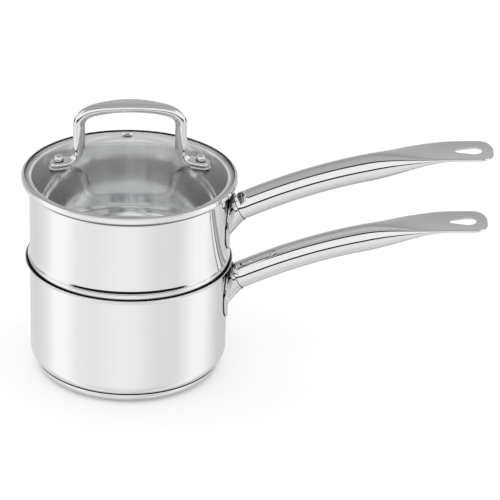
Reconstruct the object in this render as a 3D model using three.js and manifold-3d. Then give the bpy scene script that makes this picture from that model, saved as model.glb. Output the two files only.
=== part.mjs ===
// Stainless steel double boiler: a saucepan, an insert pan that nests in it, and a domed glass lid.
// Millimetres, +Z up. The origin is on the pans' axis at the flat underside of the base,
// and both long handles point along +X.
import * as THREE from 'three';
import { mergeVertices } from 'three/addons/utils/BufferGeometryUtils.js';
import Module from 'manifold-3d';

const wasm = await Module();
wasm.setup();

// Fits: the clearance kept between pieces that touch.
const SEAT_GAP = 0.3;

// Both pans are drawn from the same sheet to the same outer wall, with a flared pouring lip.
const WALL_RADIUS = 80.4;
const PAN_SHEET = 0.8;
const PAN_CORNER_RADIUS = 12;
const LIP_RADIUS = 5.4;
const LIP_SWEEP = 75;

// Lower pan and its bonded base: a steel cap over an aluminium heat-spreading disc.
const SAUCEPAN_HEIGHT = 97;
const BASE_CAP_SHEET = 0.6;
const BASE_CORE_THICKNESS = 5;
const BASE_CORNER_RUN = 9.9;
const BASE_JOINT_ANGLE = 52;

// Insert pan: the part that nests in the saucepan, the shoulder on the lip, and the ridge above it.
const INSERT_STAND = 67.7;
const NEST_DEPTH = 45;
const NEST_CLEARANCE = 3.1;
const SHOULDER_SWEEP = 52;
const RIDGE_PROUD = 1.6;
const RIDGE_HEIGHT = 5.4;
const RIDGE_ROUND = 1.5;
const RIDGE_SWEEP = 60;

// Long handles: a round tube that is pressed into a flat blade with a teardrop hanging hole.
const TUBE_RADIUS = 11.2;
const TUBE_ROOT_RADIUS = 10.8;
const TUBE_WALL = 1;
const TUBE_NECK = 6;
const HANDLE_LENGTH = 200.2;
const HANDLE_RISE = 52.6;
const HANDLE_ROOT_SLOPE = 27.5;
const HANDLE_TIP_SLOPE = 0.6;
const HANDLE_BOW = 0.37;
const BLADE_WIDTH = 37.8;
const BLADE_THICKNESS = 2.2;
const BLADE_LIFT = 6.1;
const BLADE_LENGTH = 33;
const FLATTEN_LENGTH = 67;
const BLADE_END_ROUND = 12;
const HANGING_HOLE_LENGTH = 21.3;
const HANGING_HOLE_WIDTH = 13.5;
const HANGING_HOLE_POINT = 3.6;
const HANGING_HOLE_SETBACK = 9.5;

// Handle brackets: a pressed cup that holds the tube, on a leaf-shaped flange welded to the wall.
const BRACKET_SHEET = 1;
const BRACKET_REACH = 8.2;
const SOCKET_DEPTH = 2;
const SOCKET_WALL_WIDTH = 20;
const SOCKET_WALL_TOP = 5;
const SOCKET_WALL_BOTTOM = 27;
const SOCKET_SQUARENESS = 3.4;
const FLANGE_WIDTH = 33;
const FLANGE_TOP = 6.5;
const FLANGE_BOTTOM = 36.8;
const SAUCEPAN_HANDLE_DROP = 14.4;
const INSERT_HANDLE_DROP = 20.1;

// Lid: a domed glass disc in a rolled steel band whose skirt drops inside the insert's rim.
const LID_TURN = 7;
const GLASS_THICKNESS = 3.2;
const GLASS_RISE = 10.8;
const BAND_SHEET = 0.6;
const BAND_OVERHANG = 2.4;
const BAND_LIP_WIDTH = 2.4;
const SKIRT_CLEARANCE = 0.8;
const SKIRT_DEPTH = 4.6;
const VENT_INSET = 19.9;
const VENT_BORE = 4.4;
const VENT_FLANGE = 8.8;
const EYELET_SHEET = 0.7;

// Lid handle: a round bar bent to a staple, flattened in the grip and in the two screwed feet.
const SCREW_INSET = 30.2;
const GRIP_HEIGHT = 49.2;
const GRIP_WIDTH = 17.8;
const GRIP_THICKNESS = 6.6;
const GRIP_CROWN = 3.6;
const GRIP_SQUARENESS = 2.6;
const SHOULDER_RUN = 12;
const SHOULDER_DROP = 13;
const BAR_DIAMETER = 9.6;
const BAR_SQUARENESS = 2.2;
const LEG_SETBACK = 15.2;
const FOOT_WIDTH = 14;
const FOOT_THICKNESS = 3.2;
const FOOT_OVERHANG = 7.8;
const FOOT_BEND = 9;
const FOOT_SQUARENESS = 3.6;

// Lid screws: domed cap nut above the foot, soft pads on both faces of the glass, washer and screw below.
const SCREW_DIAMETER = 4;
const SCREW_HEAD_DIAMETER = 8;
const SCREW_HEAD_HEIGHT = 2.2;
const CAP_NUT_DIAMETER = 7.2;
const CAP_NUT_HEIGHT = 5.2;
const PAD_THICKNESS = 1.2;
const PAD_MARGIN = 1;
const GASKET_DIAMETER = 13;
const WASHER_DIAMETER = 10;
const WASHER_THICKNESS = 0.8;

// Facets round the pans, the tubes and the small pieces, and steps along arcs, outlines and lofts.
const VESSEL_FACETS = 40;
const TUBE_FACETS = 16;
const SMALL_FACETS = 12;
const ARC_STEP = 24;
const OUTLINE_SEGMENTS = 6;
const DOME_STEPS = 6;
const TUBE_STEPS = 3;
const FLATTEN_STEPS = 6;
const END_STEPS = 4;
const END_SWEEP = 80;
const BAR_STEPS = [3, 4, 2, 4, 1];

const { degToRad: radians, clamp, smoothstep, lerp } = THREE.MathUtils;

// Numbers at even steps from one value to another.
function evenly(from, to, steps) {
  return Array.from({ length: steps + 1 }, (_, i) => lerp(from, to, i / steps));
}

// Distances from a rounded end at which it is given a section, closer together towards the end.
function roundedEnd(run) {
  return evenly(0, END_SWEEP, END_STEPS).map((angle) => run * (1 - Math.sin(radians(angle))));
}

// How full a rounded end is at a distance from it: a quarter ellipse, full after the run.
function fullness(fromEnd, run) {
  return Math.sqrt(1 - Math.max(1 - fromEnd / run, 0) ** 2);
}

// Profile points from pairs of radius and height.
const profileOf = (pairs) => pairs.map(([r, z]) => new THREE.Vector2(r, z));

// Points of a circular arc in a profile plane, from one angle to another in degrees.
function arc(centreR, centreZ, radius, from, to) {
  const steps = Math.max(2, Math.round(Math.abs(to - from) / ARC_STEP));
  const angles = evenly(radians(from), radians(to), steps);
  return profileOf(angles.map((a) => [centreR + radius * Math.cos(a), centreZ + radius * Math.sin(a)]));
}

// The line that runs beside a profile, a fixed distance to its left.
function offset(profile, distance) {
  const left = (a, b) => {
    const along = b.clone().sub(a).normalize();
    return new THREE.Vector2(-along.y, along.x);
  };
  const last = profile.length - 1;
  return profile.map((point, i) => {
    const before = left(profile[Math.max(i - 1, 0)], profile[Math.max(i, 1)]);
    const after = left(profile[Math.min(i, last - 1)], profile[Math.min(i + 1, last)]);
    const bisector = before.clone().add(after).normalize();
    return point.clone().addScaledVector(bisector, distance / bisector.dot(before));
  });
}

// A geometry as one closed skin: shared vertices merged, empty triangles dropped, faces pointing out.
function closed(geometry) {
  const bare = new THREE.BufferGeometry();
  bare.setAttribute('position', geometry.getAttribute('position').clone());
  bare.setIndex(geometry.getIndex());
  const welded = mergeVertices(bare);
  const position = welded.getAttribute('position');
  const index = welded.getIndex();
  const corners = [0, 1, 2].map(() => new THREE.Vector3());
  let triangles = [];
  let volume = 0;
  for (let i = 0; i < index.count; i += 3) {
    const [a, b, c] = [index.getX(i), index.getX(i + 1), index.getX(i + 2)];
    if (a !== b && b !== c && c !== a) {
      [a, b, c].forEach((vertex, k) => corners[k].fromBufferAttribute(position, vertex));
      volume += corners[0].dot(corners[1].clone().cross(corners[2]));
      triangles.push(a, b, c);
    }
  }
  if (volume < 0) triangles = triangles.reverse();
  welded.setIndex(triangles);
  return welded;
}

// A profile of radius and height turned about the Z axis.
function revolve(profile, facets = VESSEL_FACETS) {
  return closed(new THREE.LatheGeometry(profile, facets).rotateX(Math.PI / 2));
}

// A ring whose profile closes on itself.
function ring(profile, facets) {
  return revolve([...profile, profile[0]], facets);
}

// A skin through sections of equal point counts, closed by a fan at each end.
function loft(sections) {
  const count = sections[0].length;
  const sum = (section) => section.reduce((total, point) => total.add(point), new THREE.Vector3());
  const centre = (section) => sum(section).divideScalar(count);
  const points = [...sections.flat(), centre(sections[0]), centre(sections.at(-1))];
  const firstCentre = points.length - 2;
  const lastCentre = points.length - 1;
  const lastStart = (sections.length - 1) * count;
  const triangles = [];
  for (let k = 0; k < count; k += 1) {
    const next = (k + 1) % count;
    triangles.push(firstCentre, next, k, lastCentre, lastStart + k, lastStart + next);
    for (let s = 0; s < sections.length - 1; s += 1) {
      const here = s * count;
      const there = here + count;
      triangles.push(here + k, here + next, there + next, here + k, there + next, there + k);
    }
  }
  return closed(new THREE.BufferGeometry().setFromPoints(points).setIndex(triangles));
}

// A geometry as a solid for cutting and joining.
function solid(geometry) {
  const skin = closed(geometry);
  const vertProperties = new Float32Array(skin.getAttribute('position').array);
  const triVerts = new Uint32Array(skin.getIndex().array);
  return new wasm.Manifold(new wasm.Mesh({ numProp: 3, vertProperties, triVerts }));
}

// The skin of a solid.
function skinOf(manifold) {
  const { vertProperties, triVerts } = manifold.getMesh();
  const geometry = new THREE.BufferGeometry();
  geometry.setAttribute('position', new THREE.BufferAttribute(vertProperties, 3));
  geometry.setIndex(new THREE.BufferAttribute(triVerts, 1));
  return geometry;
}

// A geometry with the tools' volumes taken out.
function cut(geometry, ...tools) {
  return skinOf(tools.reduce((left, tool) => left.subtract(solid(tool)), solid(geometry)));
}

// An outline in the XY plane drawn up to a depth along Z.
function extrude(outline, depth) {
  return new THREE.ExtrudeGeometry(outline, { depth, bevelEnabled: false, curveSegments: OUTLINE_SEGMENTS });
}

// A round pin along Z, from one height to another.
function pin(radius, bottom, top, facets = SMALL_FACETS) {
  const rod = new THREE.CylinderGeometry(radius, radius, top - bottom, facets).rotateX(Math.PI / 2);
  return rod.translate(0, 0, (top + bottom) / 2);
}

// Finishes, a fresh one for each piece.
const finishes = {
  polishedSteel: () => new THREE.MeshStandardMaterial({ color: 0xd9dadb, roughness: 0.1, metalness: 1 }),
  satinSteel: () => new THREE.MeshStandardMaterial({ color: 0xb9bbbc, roughness: 0.3, metalness: 1 }),
  aluminium: () => new THREE.MeshStandardMaterial({ color: 0xc6c8ca, roughness: 0.45, metalness: 1 }),
  clearGlass: () => new THREE.MeshStandardMaterial({
    color: 0xe4ebe9, roughness: 0.03, metalness: 0, transparent: true, opacity: 0.3,
  }),
  silicone: () => new THREE.MeshStandardMaterial({ color: 0xe6e6e2, roughness: 0.6, metalness: 0 }),
};

// A named piece of the object.
function piece(name, geometry, finish) {
  geometry.computeVertexNormals();
  const mesh = new THREE.Mesh(geometry, finishes[finish]());
  mesh.name = name;
  return mesh;
}

// Heights and radii that several pieces share.
const floorHeight = BASE_CAP_SHEET + BASE_CORE_THICKNESS + 2 * SEAT_GAP;
const insertRim = SAUCEPAN_HEIGHT + INSERT_STAND;
const wallInside = WALL_RADIUS - PAN_SHEET;
const lipCentreRadius = WALL_RADIUS + LIP_RADIUS;
const lipRise = (LIP_RADIUS + PAN_SHEET) * Math.sin(radians(LIP_SWEEP));

// Outer face of a pan's flared lip, from the wall up to the rim.
function lipArc(rim) {
  return arc(lipCentreRadius, rim - lipRise, LIP_RADIUS, 180, 180 - LIP_SWEEP);
}

// Outer face of a pan's floor and rounded corner, up to the wall of the given radius.
function floorAndCorner(height, radius) {
  const corner = arc(radius - PAN_CORNER_RADIUS, height + PAN_CORNER_RADIUS, PAN_CORNER_RADIUS, -90, 0);
  return [...profileOf([[0, height]]), ...corner];
}

// A pan of even sheet thickness inside an outer face.
function drawnPan(outerFace) {
  return revolve([...outerFace, ...offset(outerFace, PAN_SHEET).reverse()]);
}

function saucepanBody() {
  return drawnPan([...floorAndCorner(floorHeight, WALL_RADIUS), ...lipArc(SAUCEPAN_HEIGHT)]);
}

// The base cap's edge meets the pan's rounded corner at the joint angle, the seat gap away from it,
// and one arc runs from there into the flat underside.
const jointReach = PAN_CORNER_RADIUS + SEAT_GAP;
const jointHeight = floorHeight + PAN_CORNER_RADIUS - jointReach * Math.sin(radians(BASE_JOINT_ANGLE));
const jointInside = WALL_RADIUS - PAN_CORNER_RADIUS + jointReach * Math.cos(radians(BASE_JOINT_ANGLE));
const baseFlatRadius = jointInside + BASE_CAP_SHEET - BASE_CORNER_RUN;
const baseCornerRadius = (BASE_CORNER_RUN ** 2 + jointHeight ** 2) / (2 * jointHeight);

// Underside and side of the base, a set depth inside the cap, up to the given height.
function baseSide(depth, top) {
  const radius = baseCornerRadius - depth;
  const topAngle = THREE.MathUtils.radToDeg(Math.asin((top - baseCornerRadius) / radius));
  return [...profileOf([[0, depth]]), ...arc(baseFlatRadius, baseCornerRadius, radius, -90, topAngle)];
}

function baseCap() {
  return revolve([...baseSide(0, jointHeight), ...baseSide(BASE_CAP_SHEET, jointHeight).reverse()]);
}

function baseCore() {
  const bottom = BASE_CAP_SHEET + SEAT_GAP;
  const top = bottom + BASE_CORE_THICKNESS;
  return revolve([...baseSide(bottom, top), ...profileOf([[0, top]])]);
}

// The insert's wall drops past its ridge to a shoulder that follows the saucepan's lip,
// and narrows from there to the nested pan.
function insertBody() {
  const nestRadius = wallInside - NEST_CLEARANCE;
  const seatRadius = LIP_RADIUS + PAN_SHEET + SEAT_GAP;
  const shoulder = arc(lipCentreRadius, SAUCEPAN_HEIGHT - lipRise, seatRadius, 180, 180 - SHOULDER_SWEEP);
  const shoulderStart = shoulder[0];
  const shoulderEnd = shoulder.at(-1);
  const ridgeRadius = WALL_RADIUS + RIDGE_PROUD;
  const ridgeTop = shoulderEnd.y + RIDGE_HEIGHT;
  const crest = arc(ridgeRadius - RIDGE_ROUND, ridgeTop - RIDGE_ROUND, RIDGE_ROUND, 0, RIDGE_SWEEP);
  const fillet = arc(WALL_RADIUS + RIDGE_ROUND, ridgeTop + RIDGE_ROUND, RIDGE_ROUND, 180 + RIDGE_SWEEP, 180);
  const neckDrop = shoulderStart.x - nestRadius;
  return drawnPan([
    ...floorAndCorner(SAUCEPAN_HEIGHT - NEST_DEPTH, nestRadius),
    ...profileOf([[nestRadius, shoulderStart.y - neckDrop]]),
    ...shoulder,
    ...crest,
    ...fillet,
    ...lipArc(insertRim),
  ]);
}

// Long handle, in a frame whose height is counted from the centre of the bracket's mouth.
const mouth = new THREE.Vector3(WALL_RADIUS + BRACKET_REACH, 0, 0);
const direction = (slope) => new THREE.Vector3(Math.cos(radians(slope)), 0, Math.sin(radians(slope)));
const rootDirection = direction(HANDLE_ROOT_SLOPE);
const handleTip = mouth.clone().add(new THREE.Vector3(HANDLE_LENGTH, 0, HANDLE_RISE));

// Centre line of the tube, from the root inside the bracket to the tip.
function handleLine() {
  const root = mouth.clone().addScaledVector(rootDirection, -SOCKET_DEPTH);
  const arm = HANDLE_LENGTH * HANDLE_BOW;
  const leaving = root.clone().addScaledVector(rootDirection, arm);
  const arriving = handleTip.clone().addScaledVector(direction(HANDLE_TIP_SLOPE), -arm);
  return new THREE.CubicBezierCurve3(root, leaving, arriving, handleTip);
}

// The point beside a line in the XZ plane: a distance aside along Y, and a height square to the line.
function offLine(centre, tangent, aside, raised) {
  const up = new THREE.Vector3(-tangent.z, 0, tangent.x);
  return centre.clone().addScaledVector(up, raised).add(new THREE.Vector3(0, aside, 0));
}

// A rounded section across a line, from its half width and half height.
// The power is 2 for an ellipse and more for a boxier shape.
function roundedSection(centre, tangent, halfWidth, halfHeight, power, count) {
  const bulge = (value) => Math.sign(value) * Math.abs(value) ** (2 / power);
  return Array.from({ length: count }, (_, k) => {
    const angle = (2 * Math.PI * k) / count;
    return offLine(centre, tangent, halfWidth * bulge(Math.cos(angle)), halfHeight * bulge(Math.sin(angle)));
  });
}

// Section of a pressed tube: two half-round edges joined by straight faces above and below.
function pressedSection(centre, tangent, halfWidth, halfHeight) {
  const facet = (2 * Math.PI) / TUBE_FACETS;
  const straight = halfWidth - halfHeight;
  return Array.from({ length: TUBE_FACETS }, (_, k) => {
    const cosine = Math.cos(facet * k);
    const aside = halfHeight * cosine + straight * clamp(cosine / Math.sin(facet), -1, 1);
    return offLine(centre, tangent, aside, halfHeight * Math.sin(facet * k));
  });
}

// Section of the handle at a distance from its tip: round tube, then pressed flat towards its upper side,
// then rounded off.
function handleSection(line, length, fromTip, inset) {
  const at = 1 - fromTip / length;
  const flat = 1 - smoothstep(fromTip, BLADE_LENGTH, BLADE_LENGTH + FLATTEN_LENGTH);
  const neck = smoothstep(fromTip, length - TUBE_NECK, length - SOCKET_DEPTH);
  const tube = lerp(TUBE_RADIUS, TUBE_ROOT_RADIUS, neck);
  const halfWidth = lerp(tube, BLADE_WIDTH / 2, flat) * fullness(fromTip, BLADE_END_ROUND);
  const halfHeight = lerp(tube, BLADE_THICKNESS / 2, flat) * fullness(fromTip, BLADE_THICKNESS / 2);
  const centre = line.getPointAt(at);
  centre.z += BLADE_LIFT * flat;
  const tangent = line.getTangentAt(at);
  return pressedSection(centre, tangent, halfWidth - inset, halfHeight - inset);
}

// Hanging hole: a wide round end and a narrow round point towards the pan, joined by straight sides.
function teardrop() {
  const wide = HANGING_HOLE_WIDTH / 2;
  const outer = handleTip.x - HANGING_HOLE_SETBACK;
  const wideCentre = outer - wide;
  const pointCentre = outer - HANGING_HOLE_LENGTH + HANGING_HOLE_POINT;
  const spread = Math.acos((wide - HANGING_HOLE_POINT) / (wideCentre - pointCentre));
  const outline = new THREE.Shape();
  outline.absarc(wideCentre, 0, wide, Math.PI + spread, 3 * Math.PI - spread, false);
  outline.absarc(pointCentre, 0, HANGING_HOLE_POINT, Math.PI - spread, Math.PI + spread, false);
  const depth = 2 * TUBE_RADIUS;
  const hole = extrude(outline, depth);
  return hole.translate(0, 0, handleTip.z + BLADE_LIFT - TUBE_RADIUS);
}

function longHandle() {
  const line = handleLine();
  const length = line.getLength();
  const flattenFrom = BLADE_LENGTH + FLATTEN_LENGTH;
  const outside = [
    length,
    length - SOCKET_DEPTH,
    ...evenly(length - TUBE_NECK, flattenFrom, TUBE_STEPS),
    ...evenly(flattenFrom, BLADE_LENGTH, FLATTEN_STEPS).slice(1),
    ...roundedEnd(BLADE_END_ROUND),
  ];
  const skin = loft(outside.map((station) => handleSection(line, length, station, 0)));
  const hollowEnd = BLADE_LENGTH + FLATTEN_LENGTH / 2;
  const inside = outside.filter((station) => station >= hollowEnd);
  const hollow = inside.map((station) => handleSection(line, length, station, TUBE_WALL));
  const pastRoot = rootDirection.clone().multiplyScalar(-TUBE_WALL);
  hollow[0] = hollow[0].map((point) => point.clone().add(pastRoot));
  return cut(skin, loft(hollow), teardrop());
}

// Bracket: the cup runs from an upright slot at the wall to a round mouth square to the tube.
function cupSections(wall, wallStart, mouthEnd) {
  const count = TUBE_FACETS;
  const radius = TUBE_ROOT_RADIUS + SEAT_GAP + wall;
  const middle = (SOCKET_WALL_TOP - SOCKET_WALL_BOTTOM) / 2;
  const slotCentre = new THREE.Vector3(wallStart, 0, middle);
  const slotWidth = SOCKET_WALL_WIDTH / 2 - BRACKET_SHEET + wall;
  const slotHeight = (SOCKET_WALL_TOP + SOCKET_WALL_BOTTOM) / 2 - BRACKET_SHEET + wall;
  const outward = new THREE.Vector3(1, 0, 0);
  const slot = roundedSection(slotCentre, outward, slotWidth, slotHeight, SOCKET_SQUARENESS, count);
  const seat = mouth.clone().addScaledVector(rootDirection, -SOCKET_DEPTH - SEAT_GAP);
  const end = mouth.clone().addScaledVector(rootDirection, mouthEnd);
  const roundAt = (centre) => roundedSection(centre, rootDirection, radius, radius, 2, count);
  return [slot, roundAt(seat), roundAt(end)];
}

// Leaf outline of the flange: two half ellipses that meet where it is widest.
function leafOutline() {
  const half = FLANGE_WIDTH / 2;
  const belly = -FLANGE_BOTTOM / 2;
  const leaf = new THREE.Shape();
  leaf.absellipse(0, belly, half, FLANGE_TOP - belly, 0, Math.PI, false);
  leaf.absellipse(0, belly, half, belly + FLANGE_BOTTOM, Math.PI, 2 * Math.PI, false);
  return leaf;
}

// The flange is bent to the wall, and the cup is drawn out of it.
function handleBracket() {
  const inner = WALL_RADIUS + SEAT_GAP;
  const outer = inner + BRACKET_SHEET;
  const wallShell = ring(profileOf([
    [inner, -FLANGE_BOTTOM], [outer, -FLANGE_BOTTOM], [outer, FLANGE_TOP], [inner, FLANGE_TOP],
  ]));
  const leafBlock = extrude(leafOutline(), outer).rotateX(Math.PI / 2).rotateZ(Math.PI / 2);
  const panWall = pin(inner, -2 * FLANGE_BOTTOM, 2 * FLANGE_BOTTOM, VESSEL_FACETS);
  const flange = solid(wallShell).intersect(solid(leafBlock));
  const cup = solid(loft(cupSections(BRACKET_SHEET, wallInside, 0))).subtract(solid(panWall));
  const hollow = solid(loft(cupSections(0, wallInside - BRACKET_SHEET, BRACKET_SHEET)));
  return skinOf(flange.add(cup).subtract(hollow));
}

// A bracket and the handle in it, at the height of the bracket's mouth.
function handleWithBracket(owner, height) {
  const group = new THREE.Group();
  group.position.z = height;
  group.add(piece(`${owner}_bracket`, handleBracket(), 'polishedSteel'));
  group.add(piece(`${owner}_handle`, longHandle(), 'satinSteel'));
  return group;
}

// Lid: the glass is held in the band, whose flange rests on the insert's rim.
const bandRadius = lipCentreRadius - LIP_RADIUS * Math.cos(radians(LIP_SWEEP)) + BAND_OVERHANG;
const bandBottom = insertRim + SEAT_GAP;
const glassRadius = bandRadius - BAND_SHEET - SEAT_GAP;
const screwOffset = glassRadius - SCREW_INSET;
const legOffset = screwOffset - LEG_SETBACK;
const ventOffset = glassRadius - VENT_INSET;
const glassEdge = bandBottom + BAND_SHEET + SEAT_GAP + GLASS_THICKNESS;
const domeRadius = (glassRadius ** 2 + GLASS_RISE ** 2) / (2 * GLASS_RISE);
const domeHeight = (r) => glassEdge + GLASS_RISE - domeRadius + Math.sqrt(domeRadius ** 2 - r ** 2);
const domeTilt = (r) => Math.asin(r / domeRadius);

// Where a fitting stands on the dome: its frame has Z square to the glass and its origin on the outer face.
function placeOnDome(object, offsetX, offsetY) {
  const r = Math.hypot(offsetX, offsetY);
  const axis = new THREE.Vector3(-offsetY / r, offsetX / r, 0);
  object.applyMatrix4(new THREE.Matrix4().makeRotationAxis(axis, domeTilt(r)));
  object.applyMatrix4(new THREE.Matrix4().makeTranslation(offsetX, offsetY, domeHeight(r)));
  return object;
}

// Glass dome, drilled for the two handle screws and for the vent.
function lidGlass() {
  const inwards = evenly(glassRadius, 0, DOME_STEPS);
  const outerFace = profileOf(inwards.map((r) => [r, domeHeight(r)]));
  const innerFace = profileOf(inwards.map((r) => [r, domeHeight(r) - GLASS_THICKNESS]));
  const disc = revolve([...innerFace.reverse(), ...outerFace]);
  const drill = (radius) => pin(radius, -2 * GLASS_THICKNESS, GLASS_THICKNESS);
  const screwHole = SCREW_DIAMETER / 2 + 2 * SEAT_GAP;
  return cut(
    disc,
    placeOnDome(drill(screwHole), screwOffset, 0),
    placeOnDome(drill(screwHole), -screwOffset, 0),
    placeOnDome(drill(VENT_BORE / 2 + EYELET_SHEET + SEAT_GAP), 0, ventOffset),
  );
}

// Steel band: a channel round the edge of the glass, a flange on the rim and a skirt inside it.
function lidBand() {
  const skirt = wallInside - SKIRT_CLEARANCE;
  const channel = bandRadius - BAND_SHEET;
  const lipEdge = bandRadius - BAND_LIP_WIDTH;
  const lipUnder = domeHeight(lipEdge) + SEAT_GAP;
  const channelTop = glassEdge + SEAT_GAP;
  const floorTop = bandBottom + BAND_SHEET;
  const bandTop = channelTop + BAND_SHEET;
  return ring(profileOf([
    [skirt, bandBottom - SKIRT_DEPTH],
    [skirt, bandBottom],
    [channel, bandBottom],
    [bandRadius, floorTop],
    [bandRadius, channelTop - BAND_SHEET],
    [channel, bandTop],
    [lipEdge, lipUnder + BAND_SHEET],
    [lipEdge, lipUnder],
    [channel, channelTop],
    [channel, floorTop],
    [skirt - BAND_SHEET, floorTop],
    [skirt - BAND_SHEET, bandBottom - SKIRT_DEPTH],
  ]));
}

// Vent eyelet: a tube through the glass, rolled over on both faces.
function ventEyelet() {
  const bore = VENT_BORE / 2;
  const tube = bore + EYELET_SHEET;
  const flange = VENT_FLANGE / 2;
  const under = -GLASS_THICKNESS - SEAT_GAP;
  return ring(profileOf([
    [bore, under - EYELET_SHEET],
    [flange - EYELET_SHEET, under - EYELET_SHEET],
    [flange - EYELET_SHEET, under],
    [tube, under],
    [tube, SEAT_GAP],
    [flange, SEAT_GAP],
    [flange - EYELET_SHEET, SEAT_GAP + EYELET_SHEET],
    [tube, SEAT_GAP + EYELET_SHEET],
    [bore, SEAT_GAP],
  ]), SMALL_FACETS);
}

// Heights above the glass in the frame of a screw.
const padTop = SEAT_GAP + PAD_THICKNESS;
const footBottom = padTop + SEAT_GAP;
const footTop = footBottom + FOOT_THICKNESS;
const nutBottom = footTop + SEAT_GAP;
const gasketTop = -GLASS_THICKNESS - SEAT_GAP;
const washerTop = gasketTop - PAD_THICKNESS - SEAT_GAP;
const headTop = washerTop - WASHER_THICKNESS - SEAT_GAP;
const shankHole = SCREW_DIAMETER / 2 + SEAT_GAP;

// A flat ring round the screw.
function washerRing(diameter, thickness, top) {
  const edge = diameter / 2;
  const bottom = top - thickness;
  return ring(profileOf([[shankHole, bottom], [edge, bottom], [edge, top], [shankHole, top]]), SMALL_FACETS);
}

// Soft pad between the foot and the glass: the foot's outline with a margin, and the screw hole.
function footPad() {
  const half = FOOT_WIDTH / 2 + PAD_MARGIN;
  const end = FOOT_OVERHANG - FOOT_WIDTH / 2;
  const outline = new THREE.Shape();
  outline.absarc(end, 0, half, -Math.PI / 2, Math.PI / 2, false);
  outline.lineTo(-half, half);
  outline.lineTo(-half, -half);
  const hole = new THREE.Path();
  hole.absarc(0, 0, shankHole, 0, 2 * Math.PI, true);
  outline.holes.push(hole);
  return closed(extrude(outline, PAD_THICKNESS)).translate(0, 0, SEAT_GAP);
}

// Domed nut with a blind bore.
function capNut() {
  const radius = CAP_NUT_DIAMETER / 2;
  const springing = nutBottom + CAP_NUT_HEIGHT - radius;
  return revolve([
    ...profileOf([[0, springing], [shankHole, springing], [shankHole, nutBottom], [radius, nutBottom]]),
    ...arc(0, springing, radius, 0, 90),
  ], SMALL_FACETS);
}

// Screw with a rounded head, from under the glass up into the nut.
function lidScrew() {
  const shank = SCREW_DIAMETER / 2;
  const head = SCREW_HEAD_DIAMETER / 2;
  const shankEnd = nutBottom + CAP_NUT_HEIGHT - CAP_NUT_DIAMETER / 2 - SEAT_GAP;
  return revolve([
    ...profileOf([[0, headTop - SCREW_HEAD_HEIGHT]]),
    ...arc(head - SCREW_HEAD_HEIGHT, headTop, SCREW_HEAD_HEIGHT, -90, 0),
    ...profileOf([[shank, headTop], [shank, shankEnd], [0, shankEnd]]),
  ], SMALL_FACETS);
}

// Half of the lid handle's centre line, from the middle of the grip down to the end of a foot.
function lidHandleHalf(side) {
  const tilt = domeTilt(screwOffset);
  const lift = footBottom + FOOT_THICKNESS / 2;
  const footMiddle = new THREE.Vector2(
    screwOffset + lift * Math.sin(tilt),
    domeHeight(screwOffset) + lift * Math.cos(tilt),
  );
  const along = new THREE.Vector2(Math.cos(tilt), -Math.sin(tilt));
  const onFoot = (distance) => footMiddle.clone().addScaledVector(along, distance);
  const kneeRun = (legOffset - footMiddle.x) / along.x;
  const knee = onFoot(kneeRun);
  const crown = footMiddle.y + GRIP_HEIGHT;
  const shoulder = new THREE.Vector2(legOffset - SHOULDER_RUN, crown - GRIP_CROWN);
  const top = new THREE.Vector2(0, crown);
  const flat = (p) => new THREE.Vector3(side * p.x, 0, p.y);
  const curve = (a, b, c) => new THREE.QuadraticBezierCurve3(flat(a), flat(b), flat(c));
  const path = new THREE.CurvePath();
  const legTop = new THREE.Vector2(legOffset, crown - GRIP_CROWN - SHOULDER_DROP);
  const legFoot = new THREE.Vector2(legOffset, knee.y + FOOT_BEND);
  path.add(curve(top, new THREE.Vector2(shoulder.x / 2, crown), shoulder));
  path.add(curve(shoulder, new THREE.Vector2(legOffset, shoulder.y - GRIP_CROWN), legTop));
  path.add(new THREE.LineCurve3(flat(legTop), flat(legFoot)));
  path.add(curve(legFoot, knee, onFoot(kneeRun + FOOT_BEND)));
  path.add(new THREE.LineCurve3(flat(onFoot(kneeRun + FOOT_BEND)), flat(onFoot(FOOT_OVERHANG))));
  return path;
}

// Section of the bar at a distance along that half line: flat grip, round leg, flat foot, rounded end.
function barSection(path, distance, side) {
  const stretchEnds = path.getCurveLengths();
  const length = stretchEnds.at(-1);
  const grip = 1 - smoothstep(distance, 0, stretchEnds[1]);
  const foot = smoothstep(distance, stretchEnds[2] - FOOT_BEND / 2, stretchEnds[3]);
  const shaped = (bar, gripSize, footSize) => lerp(lerp(bar, gripSize, grip), footSize, foot);
  const width = shaped(BAR_DIAMETER, GRIP_WIDTH, FOOT_WIDTH) * fullness(length - distance, FOOT_WIDTH / 2);
  const height = shaped(BAR_DIAMETER, GRIP_THICKNESS, FOOT_THICKNESS);
  const power = shaped(BAR_SQUARENESS, GRIP_SQUARENESS, FOOT_SQUARENESS);
  const at = distance / length;
  const tangent = path.getTangentAt(at).multiplyScalar(side);
  return roundedSection(path.getPointAt(at), tangent, width / 2, height / 2, power, SMALL_FACETS);
}

function lidHandle() {
  const halves = [-1, 1].map((side) => {
    const path = lidHandleHalf(side);
    const stretchEnds = path.getCurveLengths();
    const rounding = FOOT_WIDTH / 2;
    const stretchStations = BAR_STEPS.map((steps, k) => {
      const end = k < BAR_STEPS.length - 1 ? stretchEnds[k] : stretchEnds[k] - rounding;
      return evenly(k ? stretchEnds[k - 1] : 0, end, steps).slice(k ? 1 : 0);
    });
    const endStations = roundedEnd(rounding).slice(1).map((fromEnd) => stretchEnds.at(-1) - fromEnd);
    return [...stretchStations.flat(), ...endStations].map((distance) => barSection(path, distance, side));
  });
  const drill = () => pin(shankHole, 0, 2 * footTop);
  return cut(
    loft([...halves[0].reverse(), ...halves[1].slice(1)]),
    placeOnDome(drill(), screwOffset, 0),
    placeOnDome(drill(), -screwOffset, 0),
  );
}

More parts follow.
